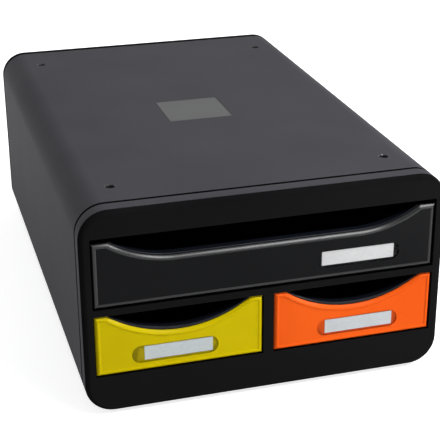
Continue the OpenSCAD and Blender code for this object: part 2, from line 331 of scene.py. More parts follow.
plate_finish = moulded(
    "plate_grey", colour=(0.068, 0.068, 0.070), tint=(0.084, 0.084, 0.086),
    roughness=0.6, spread=0.05, grain_size=0.6 * MM, grain_depth=0.01 * MM, shine=0.15)
rubber_finish = moulded(
    "stud_rubber", colour=(0.012, 0.012, 0.012), tint=(0.02, 0.02, 0.02),
    roughness=0.8, spread=0.05, grain_size=0.5 * MM, grain_depth=0.03 * MM, shine=0.25)

# %% [markdown]
# The drawers' finishes. The tray is glossy. A face has two finishes, one for its field and one for its
# raised rim, because the black face's rim mirrors far more light than its field does. On the coloured
# faces both shine alike. The yellow and the orange are strong colours with hardly any mirror image, as
# a white gleam would wash them out.


# %% Finishes of the drawers
def face_finishes(name, colour, tint, shine, rim_shine):
    """A drawer face's two finishes: its satin field, and its raised rim."""
    smooth = {"grain_size": 1.0 * MM, "grain_depth": 0.004 * MM}
    field = moulded(name, colour, tint, roughness=0.22, spread=0.02, shine=shine, **smooth)
    rim = moulded(name + "_rim", colour, tint, roughness=0.26, spread=0.03, shine=rim_shine, **smooth)
    return field, rim


tray_finish = moulded(
    "tray_black", colour=(0.005, 0.006, 0.009), tint=(0.007, 0.009, 0.014),
    roughness=0.2, spread=0.03, grain_size=1.0 * MM, grain_depth=0.006 * MM, shine=0.15)
black_face = face_finishes(
    "black_face", (0.0020, 0.0022, 0.0028), (0.0034, 0.0036, 0.0044), shine=0.063, rim_shine=0.36)
yellow_face = face_finishes(
    "yellow_face", (0.545, 0.425, 0.0005), (0.60, 0.48, 0.001), shine=0.03, rim_shine=0.03)
orange_face = face_finishes(
    "orange_face", (0.78, 0.094, 0.007), (0.86, 0.113, 0.010), shine=0.03, rim_shine=0.03)

# %% [markdown]
# The label cards are plain office card: nearly white, dull, with the short fibres of paper. They could
# be plain white, but a stretched noise adds fibres that run along the card. The lower two cards look
# cooler and darker than the upper one, so they have a finish of their own.


# %% Paper card
FIBRE_SHADE = 0.93  # how dark the fibres are, as a share of the card's colour


def card_paper(name, colour):
    """Dull card of one colour, with fine fibres that run along X."""
    material = bpy.data.materials.new(name)
    material.use_nodes = True
    nodes = material.node_tree.nodes
    links = material.node_tree.links
    shader = nodes["Principled BSDF"]
    place = nodes.new("ShaderNodeTexCoord")
    turn = nodes.new("ShaderNodeMapping")
    turn.inputs["Scale"].default_value = (0.3, 1.0, 1.0)
    fibres = nodes.new("ShaderNodeTexNoise")
    fibres.inputs["Scale"].default_value = 1200.0
    fibres.inputs["Detail"].default_value = 4.0
    shades = nodes.new("ShaderNodeValToRGB")
    shades.color_ramp.elements[0].position = 0.3
    shades.color_ramp.elements[0].color = (*[c * FIBRE_SHADE for c in colour], 1)
    shades.color_ramp.elements[1].position = 0.7
    shades.color_ramp.elements[1].color = (*colour, 1)
    raised = nodes.new("ShaderNodeBump")
    raised.inputs["Strength"].default_value = 0.6
    raised.inputs["Distance"].default_value = 0.01 * MM
    links.new(place.outputs["Object"], turn.inputs["Vector"])
    links.new(turn.outputs["Vector"], fibres.inputs["Vector"])
    links.new(fibres.outputs["Fac"], shades.inputs["Fac"])
    links.new(shades.outputs["Color"], shader.inputs["Base Color"])
    links.new(fibres.outputs["Fac"], raised.inputs["Height"])
    links.new(raised.outputs["Normal"], shader.inputs["Normal"])
    shader.inputs["Roughness"].default_value = 0.85
    shader.inputs["Specular IOR Level"].default_value = 0.2
    print("finish:", material.name)
    return material


white_card = card_paper("white_card", (0.94, 0.94, 0.94))
cool_card = card_paper("cool_card", (0.82, 0.88, 0.90))

# %% [markdown]
# A label window is clear moulded plastic. A glass shader would do, but it darkens what lies behind a
# thin sheet and takes many samples. Mixing a see-through shader with a little gloss keeps the card
# bright, and a Fresnel factor with a low index still brings up a glint at the round ends.


# %% Clear window
def clear_plastic(name, tint):
    """A see-through plastic with a faint ripple in its gloss."""
    material = bpy.data.materials.new(name)
    material.use_nodes = True
    nodes = material.node_tree.nodes
    links = material.node_tree.links
    nodes.remove(nodes["Principled BSDF"])
    through = nodes.new("ShaderNodeBsdfTransparent")
    through.inputs["Color"].default_value = (*tint, 1)
    gloss = nodes.new("ShaderNodeBsdfGlossy")
    gloss.inputs["Roughness"].default_value = 0.12
    edge = nodes.new("ShaderNodeFresnel")
    edge.inputs["IOR"].default_value = 1.12
    place = nodes.new("ShaderNodeTexCoord")
    ripple = nodes.new("ShaderNodeTexNoise")
    ripple.inputs["Scale"].default_value = 220.0
    raised = nodes.new("ShaderNodeBump")
    raised.inputs["Strength"].default_value = 0.5
    raised.inputs["Distance"].default_value = 0.02 * MM
    mix = nodes.new("ShaderNodeMixShader")
    links.new(place.outputs["Object"], ripple.inputs["Vector"])
    links.new(ripple.outputs["Fac"], raised.inputs["Height"])
    links.new(raised.outputs["Normal"], gloss.inputs["Normal"])
    links.new(raised.outputs["Normal"], edge.inputs["Normal"])
    links.new(edge.outputs["Fac"], mix.inputs["Fac"])
    links.new(through.outputs["BSDF"], mix.inputs[1])
    links.new(gloss.outputs["BSDF"], mix.inputs[2])
    links.new(mix.outputs["Shader"], nodes["Material Output"].inputs["Surface"])
    print("finish:", material.name)
    return material


window_finish = clear_plastic("window_clear", (0.99, 0.995, 1.0))

# %% [markdown]
# ## The casing
# The casing is one moulded sleeve with large round edges along its length. A tube could be bent from a
# curve, but an outline that is extruded and given a wall keeps exact flats. The collars of the frame
# and of the rear cover are the same kind of sleeve, set inwards, so one helper makes all three.


# %% Sleeves
def case_tube(name, low, high, inset, y0, y1, thickness, *finishes):
    """A sleeve that follows the case's outline, open at both ends."""
    bm = bmesh.new()
    corner_face(bm, low.x + inset, high.x - inset, low.z + inset, high.z - inset, y0)
    round_verts(bm, bm.verts[:], CORNER_R - inset, CASE_SEGMENTS)
    ends = bm.faces[:]
    ends += deepen(bm, ends, y1 - y0)
    bmesh.ops.recalc_face_normals(bm, faces=bm.faces[:])
    bmesh.ops.delete(bm, geom=ends, context="FACES")
    return walled(new_object(name, bm, *finishes), thickness)


# %% [markdown]
# The lid has four sockets for the studs of a box stacked above. Each is a bore with a wider mouth. It
# could be one turned cutter, but a cylinder and a short cone are simpler, and the cylinder's helper
# makes the bosses too. A socket lies right above a stud, so its place is read from the stud's solid.

# %% Socket cutters
SOCKET_R = 3.2 * MM
SOCKET_DEPTH = 9.0 * MM
SOCKET_MOUTH = 0.6 * MM
CORNERS = ("front_left", "rear_left", "front_right", "rear_right")


def upright_cone(name, place, z0, z1, low_r, high_r, capped=True):
    """A cone or a cylinder round a place, between two heights."""
    bm = bmesh.new()
    middle = Matrix.Translation((place.x, place.y, (z0 + z1) / 2))
    bmesh.ops.create_cone(bm, cap_ends=capped, segments=TURNED_SEGMENTS, radius1=low_r, radius2=high_r,
                          depth=z1 - z0, matrix=middle)
    return new_object(name, bm)


def socket_tools(place):
    """One socket's two cutters: its bore, and the cone that widens its mouth."""
    lid = casing_high.z
    bore = upright_cone("bore_tool", place, lid - SOCKET_DEPTH, lid + OVERCUT, SOCKET_R, SOCKET_R)
    mouth = upright_cone("mouth_tool", place, lid - SOCKET_MOUTH, lid + SOCKET_MOUTH,
                         SOCKET_R, SOCKET_R + 2 * SOCKET_MOUTH)
    return [bore, mouth]


sockets = [sum(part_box("foot_" + corner), Vector()) / 2 for corner in CORNERS]
print("sockets in mm:", [[round(v / MM, 1) for v in place.xy] for place in sockets])

# %% [markdown]
# The sleeve is cut for its sockets and for a shallow bed, in which the plate lies. The bed could be left
# out, as the plate would hide the lid below it, but a small gap round the plate is what tells a piece of
# its own from a painted patch. The edges are softened after the cuts, so sockets and bed get a radius.

# %% Casing
PLATE_GAP = 0.3 * MM
CASING_EDGE = 0.35 * MM

casing = case_tube("casing", casing_low, casing_high, 0, casing_low.y, rear_high.y - REAR_RIM, WALL,
                   casing_finish, matte_black_and_groove_shade, socket_finish)
tools = [tool for place in sockets for tool in socket_tools(place)]
plate_low, plate_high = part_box("top_plate")
bed = bmesh.new()
block(bed, plate_low - Vector((PLATE_GAP, PLATE_GAP, 0)),
      plate_high + Vector((PLATE_GAP, PLATE_GAP, OVERCUT)))
tools.append(new_object("bed_tool", bed))
cut(casing, *tools)
soften(casing, CASING_EDGE, segments=2)
print("casing length in mm:", round((rear_high.y - REAR_RIM - casing_low.y) / MM, 1))

# %% [markdown]
# Under each socket a boss hangs from the lid. It is a ring, so that the socket stays a real hole, and
# its glossy inside is what gleams when light falls in. The sockets' mouths share that gloss. The
# casing's front edge is one side of the thin groove behind the frame. It is painted dull black, a
# painted shade for the shadow in the groove, so that the groove reads as a dark line. Such faces could
# be picked by hand, but a test of where a face lies and which way it looks still holds when a size
# changes.

# %% Bosses, mouths and groove edge
BOSS_WALL = 2.2 * MM
BOSS_DEPTH = 6.0 * MM
PICK_MARGIN = 1.0 * MM
LOOKS_FORWARD = -0.3  # a normal's Y below this looks to the front
# slot of the casing's painted shade: dull black on its front edge, for the groove's shadow
GROOVE_PAINTED_SHADE = 1
SOCKET_GLOSS = 2

lid_inside = casing_high.z - WALL
boss_r = SOCKET_R + BOSS_WALL
bosses = []
for place in sockets:
    ring = upright_cone("boss", place, lid_inside - BOSS_DEPTH, lid_inside, boss_r, boss_r, capped=False)
    boss = walled(ring, BOSS_WALL)
    boss.data.polygons.foreach_set("material_index", [SOCKET_GLOSS] * len(boss.data.polygons))
    bosses.append(boss)
joined(casing, *bosses)
# the casing's front edge gets the painted shade of the groove, and the sockets get their gloss
for face in casing.data.polygons:
    if face.normal.y < LOOKS_FORWARD and face.center.y < casing_low.y + PICK_MARGIN:
        face.material_index = GROOVE_PAINTED_SHADE
    away = min((face.center.xy - place.xy).length for place in sockets)
    if away < SOCKET_R + PICK_MARGIN and face.normal.z < SQUARELY:
        face.material_index = SOCKET_GLOSS
finished(casing, "case", "case_shell")

# %% [markdown]
# ## The plate
# A small plate lies flush in the middle of the lid. A cube would do, but then its corners would have to
# be found again to be rounded. It starts as a level face with tight round corners and is extruded down,
# so its top stays exactly in the lid's plane.

# %% Plate
PLATE_CORNER = 1.2 * MM
PLATE_EDGE = 0.2 * MM

bm = bmesh.new()
level_face(bm, plate_low.x, plate_high.x, plate_low.y, plate_high.y, plate_high.z)
round_verts(bm, bm.verts[:], PLATE_CORNER, segments=5)
deepen(bm, bm.faces[:], plate_low.z - plate_high.z, way=(0, 0, 1))
face_front_is_out(bm)
plate = soften(new_object("plate", bm, plate_finish), PLATE_EDGE, segments=2)
finished(plate, "case", "top_plate")

# %% [markdown]
# ## The front frame
# The frame closes the casing's front. Its outer faces all round are painted in the casing's grey grain,
# a painted sheen that stands for the light falling on the black moulding's rim, and they roll over in a
# dull shoulder to the satin front. A thin groove parts this band from the casing, and the band's faces
# that look back into it are painted dull black, a painted shade. The profile could be drawn and swept
# round the corners, but a rounded slab with two edge bevels needs only their widths: one for the
# shoulder, and a smaller one that rolls the band into the groove. The way that a face looks tells band,
# shoulder and front apart.

# %% Frame with its band
SHOULDER = 4.0 * MM
BAND_DEPTH = 14.0 * MM
BAND_ROLL = 1.8 * MM
BAND_TURN = math.radians(78)  # faces turned further than this from the front are the band
FRONT_TURN = math.radians(18)  # faces turned less than this are the front
GROOVE_TURN = math.radians(25)  # faces turned further back than this look into the groove
# slot of the band's painted sheen: the casing's grey grain on the black moulding's outer faces
BAND_PAINTED_SHEEN = 1
# slot of the shoulder's dull black, which is also the painted shade in the groove
DULL_BLACK_AND_GROOVE_SHADE = 2

band_back = frame_low.y + BAND_DEPTH
bm = bmesh.new()
rounded_slab(bm, frame_low.x, frame_high.x, frame_low.z, frame_high.z, frame_low.y, band_back,
             CORNER_R, CASE_SEGMENTS)
round_edges(bm, edges_at(bm, frame_low.y), SHOULDER, segments=7)
# outer faces get the painted sheen, and the shoulder gets its dull black
for face in bm.faces:
    if abs(face.normal.y) < math.cos(BAND_TURN):
        face.material_index = BAND_PAINTED_SHEEN
    elif abs(face.normal.y) < math.cos(FRONT_TURN):
        face.material_index = DULL_BLACK_AND_GROOVE_SHADE
round_edges(bm, edges_at(bm, band_back), BAND_ROLL, segments=4)
# faces that look back into the groove get painted shade, in dull black
for face in bm.faces:
    if face.normal.y > math.sin(GROOVE_TURN):
        face.material_index = DULL_BLACK_AND_GROOVE_SHADE
# the casing's grain is the band's painted sheen, and the dull black is the shoulder and the groove's
# painted shade
front_frame = new_object("front_frame_moulding", bm, frame_finish, casing_finish, matte_black_and_groove_shade)
print("band in mm:", round(BAND_DEPTH / MM, 1), "shoulder:", round(SHOULDER / MM, 1))

# %% [markdown]
# The frame has one opening for each drawer, a little larger than the drawer's face. The upper one is
# higher than its drawer by a gap for the fingers. The openings could be holes in the slab's outline, but
# then the shoulder's bevel would run round them too. So they are cut after it, and only a small radius
# softens their edges. A collar behind the frame plugs into the casing and closes the groove from inside.

# %% Openings and collar
OPENING_R = 1.0 * MM
FRONT_GAP = 0.7 * MM
FINGER_GAP = 3.7 * MM
FRAME_EDGE = 0.5 * MM
COLLAR_LAP = 0.5 * MM


def opening_tool(x0, x1, z0, z1):
    """A cutter for one opening of the frame, with its small round corners."""
    bm = bmesh.new()
    rounded_slab(bm, x0, x1, z0, z1, frame_low.y - OVERCUT, frame_high.y, OPENING_R, segments=5)
    return new_object("opening_tool", bm)


upper_low, upper_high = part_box("upper_drawer_face")
lower_low, lower_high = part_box("right_drawer_face")
openings = [opening_tool(upper_low.x - FRONT_GAP, upper_high.x + FRONT_GAP, upper_low.z - FRONT_GAP,
                         upper_high.z + FINGER_GAP)]
for side in (-1, 1):
    near, far = side * (lower_low.x - FRONT_GAP), side * (lower_high.x + FRONT_GAP)
    openings.append(opening_tool(min(near, far), max(near, far), lower_low.z - FRONT_GAP,
                                 lower_high.z + FRONT_GAP))
cut(front_frame, *openings)
soften(front_frame, FRAME_EDGE, angle=32)
collar = case_tube("collar", frame_low, frame_high, WALL + COLLAR_GAP, band_back - COLLAR_LAP,
                   frame_high.y, COLLAR_WALL)
joined(front_frame, collar)
finished(front_frame, "case", "front_frame")

# %% [markdown]
# ## The rear cover
# The back is a plain cover with the casing's outline. Its rim shows on the lid as a dark line, seen at a
# low angle. The line could be a stripe in the casing's material, but as a slab of its own, in dull
# black, the cover is right from every side. The rim is deeper than its solid's, because the line came
# out too thin. The outer shape stays the same. Its rear edge is rounded more than its front edge, and a
# collar plugs it into the casing.

# %% Rear cover
REAR_ROUND = 1.4 * MM
REAR_EDGE = 0.25 * MM

bm = bmesh.new()
rounded_slab(bm, rear_low.x, rear_high.x, rear_low.z, rear_high.z, rear_high.y - REAR_RIM,
             rear_high.y, CORNER_R, CASE_SEGMENTS)
round_edges(bm, edges_at(bm, rear_high.y), REAR_ROUND, segments=4)
rear_cover = soften(new_object("rear_cover", bm, matte_black_and_groove_shade), REAR_EDGE, segments=2, angle=50)
rear_collar = case_tube("rear_collar", rear_low, rear_high, WALL + COLLAR_GAP, rear_low.y,
                        rear_high.y - REAR_RIM / 2, COLLAR_WALL)
joined(rear_cover, rear_collar)
finished(rear_cover, "case", "rear_panel")

# %% [markdown]
# ## A drawer's outline
# Every drawer front has the same kind of outline: a bar with a large finger scoop out of its top edge.
# On the wide drawer the scoop is an arc, a flat, and an arc; on the narrow ones it is one arc. Spinning
# a single vertex about the arc's centre draws the arc exactly, and the sides are then joined to it. A
# scoop is given by three lengths: the reach of each arc, the depth, and the shoulder beside it.


# %% Scooped outline
SCOOP_SEGMENTS = 20  # in each of a scoop's arcs
FRONT_R = 1.2 * MM


def scoop_side(bm, tip, centre, angle):
    """Spins one vertex about the scoop's arc centre and returns the row of vertices."""
    row = [tip]
    for _ in range(SCOOP_SEGMENTS):
        made = bmesh.ops.extrude_vert_indiv(bm, verts=[row[-1]])
        moved = made["verts"]
        bmesh.ops.rotate(bm, cent=centre, matrix=Matrix.Rotation(angle / SCOOP_SEGMENTS, 3, "Y"),
                         verts=moved)
        row.append(moved[0])
    return row


def scoop_arc(low, high, reach, depth, shoulder):
    """Radius and centre height of a scoop's arcs, the front's middle, and half its flat."""
    radius = (reach ** 2 + depth ** 2) / (2 * depth)
    flat = (high.x - low.x) / 2 - shoulder - reach
    return radius, high.z - depth + radius, (high.x + low.x) / 2, flat


def scooped_face(bm, low, high, scoop, y, lift=0.0):
    """A drawer front's outline as one face. A lift raises the scoop's edge and rounds the ends."""
    radius, arc_z, middle, flat = scoop_arc(low, high, *scoop)
    rim = radius - lift
    sweep = math.acos((arc_z - high.z) / rim)
    tip_x = math.sin(sweep) * rim
    left_tip = bm.verts.new((middle - flat - tip_x, y, high.z))
    left_row = scoop_side(bm, left_tip, (middle - flat, y, arc_z), -sweep)
    right_tip = bm.verts.new((middle + flat + tip_x, y, high.z))
    right_row = scoop_side(bm, right_tip, (middle + flat, y, arc_z), sweep)
    if flat > NEAR:
        bm.edges.new((left_row[-1], right_row[-1]))
    corners = [bm.verts.new(c) for c in [(high.x, y, high.z), (high.x, y, low.z),
                                         (low.x, y, low.z), (low.x, y, high.z)]]
    ring = [right_tip, *corners, left_tip]
    for a, b in zip(ring, ring[1:]):
        bm.edges.new((a, b))
    bmesh.ops.remove_doubles(bm, verts=bm.verts[:], dist=NEAR)
    bmesh.ops.contextual_create(bm, geom=bm.edges[:])
    if lift:
        ends = [v for v in bm.verts if min(v.co.x - low.x, high.x - v.co.x) < NEAR]
        round_verts(bm, ends, FRONT_R, segments=5)
    return bm.faces[:]


# %% [markdown]
# ## Coloured faces
# A face is a plate with a raised rim round its edge, and a round-ended pocket for the label window. The
# rim could be a swept bead, but a bevel and two insets follow the scoop by themselves. The bevel of the
# outer edge is nearly flat, and catches the thin line of light that runs round each drawer. The first
# inset leaves the rim's top, and the second sinks the field by a short slope. The front that stays in
# the middle is the field, and all the rest gets the rim's finish.


# %% Face
RIM_W = 3.2 * MM
RIM_H = 0.5 * MM
RIM_SLOPE = 0.7 * MM
RIM_BEVEL = 1.8 * MM
RIM_CURVE = 0.3  # the bevel's profile, nearly flat
POCKET_GAP = 0.1 * MM
FIELD, RIM = 0, 1


def stadium(name, low, high, y0, y1, *finishes, grow=0.0):
    """A round-ended slab between two depths."""
    bm = bmesh.new()
    rounded_slab(bm, low.x - grow, high.x + grow, low.z - grow, high.z + grow, y0, y1,
                 (high.z - low.z) / 2 + grow - NEAR, segments=12)
    return new_object(name, bm, *finishes)


def drawer_face(name, low, high, window_low, window_high, scoop, finishes):
    """A scooped face with a raised rim and a pocket for its window."""
    bm = bmesh.new()
    deepen(bm, scooped_face(bm, low, high, scoop, low.y), high.y - low.y)
    face_front_is_out(bm)
    round_edges(bm, edges_at(bm, low.y), RIM_BEVEL, segments=4, profile=RIM_CURVE)
    flat_front = [f for f in bm.faces if all(abs(v.co.y - low.y) < NEAR for v in f.verts)]
    front = max(flat_front, key=lambda f: f.calc_area())
    bmesh.ops.inset_individual(bm, faces=[front], thickness=RIM_W - RIM_SLOPE - RIM_BEVEL,
                               use_even_offset=True)
    bmesh.ops.inset_individual(bm, faces=[front], thickness=RIM_SLOPE, depth=-RIM_H,
                               use_even_offset=True)
    for face in bm.faces:
        face.material_index = FIELD if face is front else RIM
    piece = new_object(name, bm, *finishes)
    pocket = stadium("pocket_tool", window_low, window_high, low.y - OVERCUT, window_high.y,
                     grow=POCKET_GAP)
    return cut(piece, pocket)


# %% [markdown]
# ## Trays
# Behind the face is the tray. Where fingers pull, the top edge of its front wall rolls back in a lip. A
# profile could be swept along a curve, but one short edge that is spun about the scoop's own centre
# follows the scoop without a path.


# %% Rolled lip
LIP_RISE = 0.8 * MM
LIP_T = 2.0 * MM
LIP_EDGE = 0.8 * MM


def rolled_lip(face_low, face_high, top, scoop, y0, y1):
    """The band that rolls back along the scoop: one short edge, spun, carried on and spun again."""
    radius, arc_z, middle, flat = scoop_arc(face_low, face_high, *scoop)
    rim = radius - LIP_RISE
    sweep = math.acos((arc_z - top) / rim)
    bm = bmesh.new()
    ends = [bm.verts.new((middle - flat - math.sin(sweep) * r, y0, arc_z - math.cos(sweep) * r))
            for r in (rim, rim + LIP_T)]
    end = [*ends, bm.edges.new(ends)]
    end = bmesh.ops.spin(bm, geom=end, cent=(middle - flat, y0, arc_z), axis=(0, 1, 0), angle=-sweep,
                         steps=SCOOP_SEGMENTS)["geom_last"]
    if flat > NEAR:
        edges = [g for g in end if isinstance(g, bmesh.types.BMEdge)]
        end = bmesh.ops.extrude_edge_only(bm, edges=edges)["geom"]
        moved = [g for g in end if isinstance(g, bmesh.types.BMVert)]
        bmesh.ops.translate(bm, verts=moved, vec=(2 * flat, 0, 0))
        end = moved + [e for e in bm.edges if all(v in moved for v in e.verts)]
    bmesh.ops.spin(bm, geom=end, cent=(middle + flat, y0, arc_z), axis=(0, 1, 0), angle=-sweep,
                   steps=SCOOP_SEGMENTS)
    deepen(bm, bm.faces[:], y1 - y0)
    face_front_is_out(bm)
    return soften(new_object("lip", bm), LIP_EDGE, segments=4, angle=40)


# %% [markdown]
# The rest of a tray is a floor, two sides and a back. Four thin slabs would leave seams at the folds.
# Removing the top and front of a block, rounding the folds and giving the rest a thickness leaves one
# clean shell.


# %% Open bin
TRAY_WALL = 1.8 * MM
FOLD_R = 2.5 * MM
SIDE_EDGE = 0.3 * MM


def open_bin(low, high):
    """A box without its top and front, with rounded folds and a wall thickness."""
    bm = bmesh.new()
    block(bm, low, high)
    opened = [f for f in bm.faces if f.normal.z > SQUARELY or f.normal.y < -SQUARELY]
    bmesh.ops.delete(bm, geom=opened, context="FACES")
    folds = [e for e in bm.edges if len(e.link_faces) == 2]
    round_edges(bm, folds, FOLD_R, segments=5)
    return soften(walled(new_object("bin", bm), TRAY_WALL), SIDE_EDGE, segments=2, angle=40)


# %% [markdown]
# The front wall carries the face. It could be a slab with a cut in it, but the face's outline is there
# already, and with it the scoop runs through both. Wall, bin and lip then make one tray.


# %% Drawer tray
FRONT_WALL = 2.4 * MM
FRONT_WALL_EDGE = 0.6 * MM
SIDE_INSET = 0.4 * MM
LIP_DEPTH = 4.0 * MM
LIP_LAP = 1.0 * MM


def drawer_tray(name, low, high, face_low, face_high, scoop, side_drop):
    """A tray: its scooped front wall, its bin and its lip. The sides end below the face's top."""
    wall_back = low.y + FRONT_WALL
    top = face_high.z - side_drop
    bm = bmesh.new()
    deepen(bm, scooped_face(bm, face_low, face_high, scoop, low.y, LIP_RISE), FRONT_WALL)
    face_front_is_out(bm)
    tray = soften(new_object(name, bm, tray_finish), FRONT_WALL_EDGE, segments=4, angle=35)
    bin_low = Vector((face_low.x + SIDE_INSET, wall_back, face_low.z))
    bin_high = Vector((face_high.x - SIDE_INSET, high.y, top))
    lip = rolled_lip(face_low, face_high, top, scoop, wall_back - LIP_LAP, wall_back + LIP_DEPTH)
    return joined(tray, open_bin(bin_low, bin_high), lip)


# %% [markdown]
# ## Windows and cards
# The window is a clear slab with round ends, which lies in the face's pocket, and the card lies behind
# it. Both could be one slab with two finishes, but on the real drawer the card can be changed. The
# window's edges are softened to catch a glint, and the card's are kept crisp, as cut paper is. The lower
# two cards look shorter at their left ends, so a card can be made shorter than its solid there.


# %% Window and card
WINDOW_EDGE = 0.3 * MM
CARD_CORNER = 0.4 * MM


def label_window(name, node):
    """The clear slab in a face's pocket."""
    low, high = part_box(node)
    return soften(stadium(name, low, high, low.y, high.y, window_finish), WINDOW_EDGE, angle=40)


def label_card(name, node, paper, short):
    """A paper card, shorter at its left end by the given length."""
    low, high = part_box(node)
    bm = bmesh.new()
    rounded_slab(bm, low.x + short, high.x, low.z, high.z, low.y, high.y, CARD_CORNER, segments=3)
    return new_object(name, bm, paper)


# %% [markdown]
# ## Three drawers
# The wide drawer has a long flat scoop and the narrow ones a round scoop, which takes up all the width
# between its shoulders. So the narrow scoop's reach isn't typed, but worked out from the face's box.

# %% Scoops
UPPER_REACH = 45.0 * MM
UPPER_DEPTH = 14.0 * MM
UPPER_SHOULDER = 11.0 * MM
LOWER_DEPTH = 15.6 * MM
LOWER_SHOULDER = 7.8 * MM

lower_reach = (lower_high.x - lower_low.x) / 2 - LOWER_SHOULDER
upper_scoop = (UPPER_REACH, UPPER_DEPTH, UPPER_SHOULDER)
lower_scoop = (lower_reach, LOWER_DEPTH, LOWER_SHOULDER)
print("narrow scoop's reach in mm:", round(lower_reach / MM, 2))

# %% [markdown]
# The drawers differ in scoop, colour and card, so each is one row of values and one turn of a loop. The
# lower two trays show a bright edge over their coloured faces. So these faces' scoops are a little
# deeper than the trays', and leave the lip in view. All pieces of a drawer ride on its body and slide
# out together.

# %% Drawers
LIP_STEP = 1.4 * MM
UPPER_SIDE_DROP = 4.0 * MM
LOWER_SIDE_DROP = 2.0 * MM
LEFT_SHORT = 5.0 * MM
RIGHT_SHORT = 2.5 * MM
FACE_CREASE = 25

# Each row: drawer, scoop, step of the lip, drop of the sides, the face's finishes, slot, card, short by.
DRAWERS = [
    ("upper", upper_scoop, 0, UPPER_SIDE_DROP, black_face, "face_black", white_card, 0),
    ("left", lower_scoop, LIP_STEP, LOWER_SIDE_DROP, yellow_face, "face_yellow", cool_card, LEFT_SHORT),
    ("right", lower_scoop, LIP_STEP, LOWER_SIDE_DROP, orange_face, "face_orange", cool_card, RIGHT_SHORT),
]
for side, scoop, lip_step, side_drop, finishes, face_slot, paper, short in DRAWERS:
    body = side + "_drawer"
    face_low, face_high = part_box(side + "_drawer_face")
    tray_low, tray_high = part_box(side + "_drawer_tray")
    window_low, window_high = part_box(side + "_label_window")
    reach, depth, shoulder = scoop
    face_scoop = (reach, depth + lip_step, shoulder)
    face = drawer_face(side + "_face", face_low, face_high, window_low, window_high, face_scoop, finishes)
    finished(face, body, side + "_drawer_face", FACE_CREASE)
    tray = drawer_tray(side + "_tray", tray_low, tray_high, face_low, face_high, scoop, side_drop)
    finished(tray, body, side + "_drawer_tray")
    window = label_window(side + "_window", side + "_label_window")
    finished(window, body, side + "_label_window")
    card = label_card(side + "_card", side + "_label_card", paper, short)
    finished(card, body, side + "_label_card")

# %% [markdown]
# ## Rubber studs
# Four short rubber studs carry the box. Each is a turned shape: a tip with its edge sloped off, a thin
# neck that passes through the casing's underside, and a head inside. It could be stacked from cylinders,
# but a spin of its half outline makes it in one step and leaves no faces inside.


# %% Studs
STUD_R = 3.0 * MM
NECK_R = 1.8 * MM
STUD_EDGE = 0.5 * MM


def stud(name, node):
    """A turned stud between its solid's lowest and highest point."""
    low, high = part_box(node)
    middle = (low + high) / 2
    neck_z = casing_low.z
    head_r = high.x - middle.x
    outline = [(0, low.z), (STUD_R - STUD_EDGE, low.z), (STUD_R, low.z + STUD_EDGE), (STUD_R, neck_z),
               (NECK_R, neck_z), (NECK_R, neck_z + WALL), (head_r, neck_z + WALL), (head_r, high.z),
               (0, high.z)]
    bm = bmesh.new()
    row = [bm.verts.new((middle.x + r, middle.y, z)) for r, z in outline]
    edges = [bm.edges.new(pair) for pair in zip(row, row[1:])]
    bmesh.ops.spin(bm, geom=row + edges, cent=(middle.x, middle.y, 0), axis=(0, 0, 1),
                   angle=math.tau, steps=TURNED_SEGMENTS, use_merge=True)
    face_front_is_out(bm)
    return new_object(name, bm, rubber_finish)


for corner in CORNERS:
    finished(stud("stud_" + corner, "foot_" + corner), "case", "foot_" + corner)

# %% [markdown]
# ## Inside the case
# The deck, shelf, partition and guides are seen only through the scoops and when a drawer is out. They
# could be modelled again too, but their solids have the right shape already. So they keep it and only
# get the dull black of the inside.

# %% Inner solids
INNER_NODES = ("base_deck", "divider_shelf", "centre_partition", "drawer_guide_left", "drawer_guide_right")
for node in INNER_NODES:
    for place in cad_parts[node].material_slots:
        place.material = inner_finish
print("inner solids:", len(INNER_NODES))

# %% [markdown]
# ## The floor
# The box stands on a plain pale floor in a pale room. Both must look white to the camera, the floor must
# still hold the box's shadow, and neither may throw that much light on the box. A shadow catcher would
# need other render settings. Instead the rays are told apart: those from the camera, or by way of a
# reflection or glass, see more light than those that only light a surface.


# %% Rays that see
def seen_directly(nodes, links):
    """One where a ray comes from the camera, a reflection or glass, and zero elsewhere."""
    path = nodes.new("ShaderNodeLightPath")
    first = nodes.new("ShaderNodeMath")
    first.operation = "MAXIMUM"
    second = nodes.new("ShaderNodeMath")
    second.operation = "MAXIMUM"
    links.new(path.outputs["Is Camera Ray"], first.inputs[0])
    links.new(path.outputs["Is Glossy Ray"], first.inputs[1])
    links.new(first.outputs["Value"], second.inputs[0])
    links.new(path.outputs["Is Transmission Ray"], second.inputs[1])
    return second.outputs["Value"]


# %% [markdown]
# The floor's own colour is pale, and it gets a glow on top for the rays that see it. The glow is weak
# enough that the shadow stays in view. A large sheet of a few faces is all the shape that it needs.

# %% Floor
FLOOR_GLOW = 0.76
FLOOR_SIZE = 12.0

floor_material = bpy.data.materials.new("floor_white")
floor_material.use_nodes = True
nodes = floor_material.node_tree.nodes
links = floor_material.node_tree.links
paint = nodes["Principled BSDF"]
paint.inputs["Base Color"].default_value = (0.82, 0.82, 0.82, 1)
paint.inputs["Roughness"].default_value = 1.0
paint.inputs["Specular IOR Level"].default_value = 0.0
paint.inputs["Emission Color"].default_value = (1, 1, 1, 1)
glow = nodes.new("ShaderNodeMath")
glow.operation = "MULTIPLY"
glow.inputs[1].default_value = FLOOR_GLOW
links.new(seen_directly(nodes, links), glow.inputs[0])
links.new(glow.outputs["Value"], paint.inputs["Emission Strength"])

bm = bmesh.new()
bmesh.ops.create_grid(bm, x_segments=2, y_segments=2, size=FLOOR_SIZE / 2)
floor = new_object("floor", bm, floor_material)
print("floor in metres:", FLOOR_SIZE)

# %% [markdown]
# The room is a plain white world, which could be a picture of a studio. A plain one has no shapes to
# show up as marks in the glossy black, and its strength is the only thing to set. It is full where it is
# seen, and weak where it only fills in the shade.

# %% World
ROOM_LIGHT = 0.3
ROOM_SEEN = 1.0

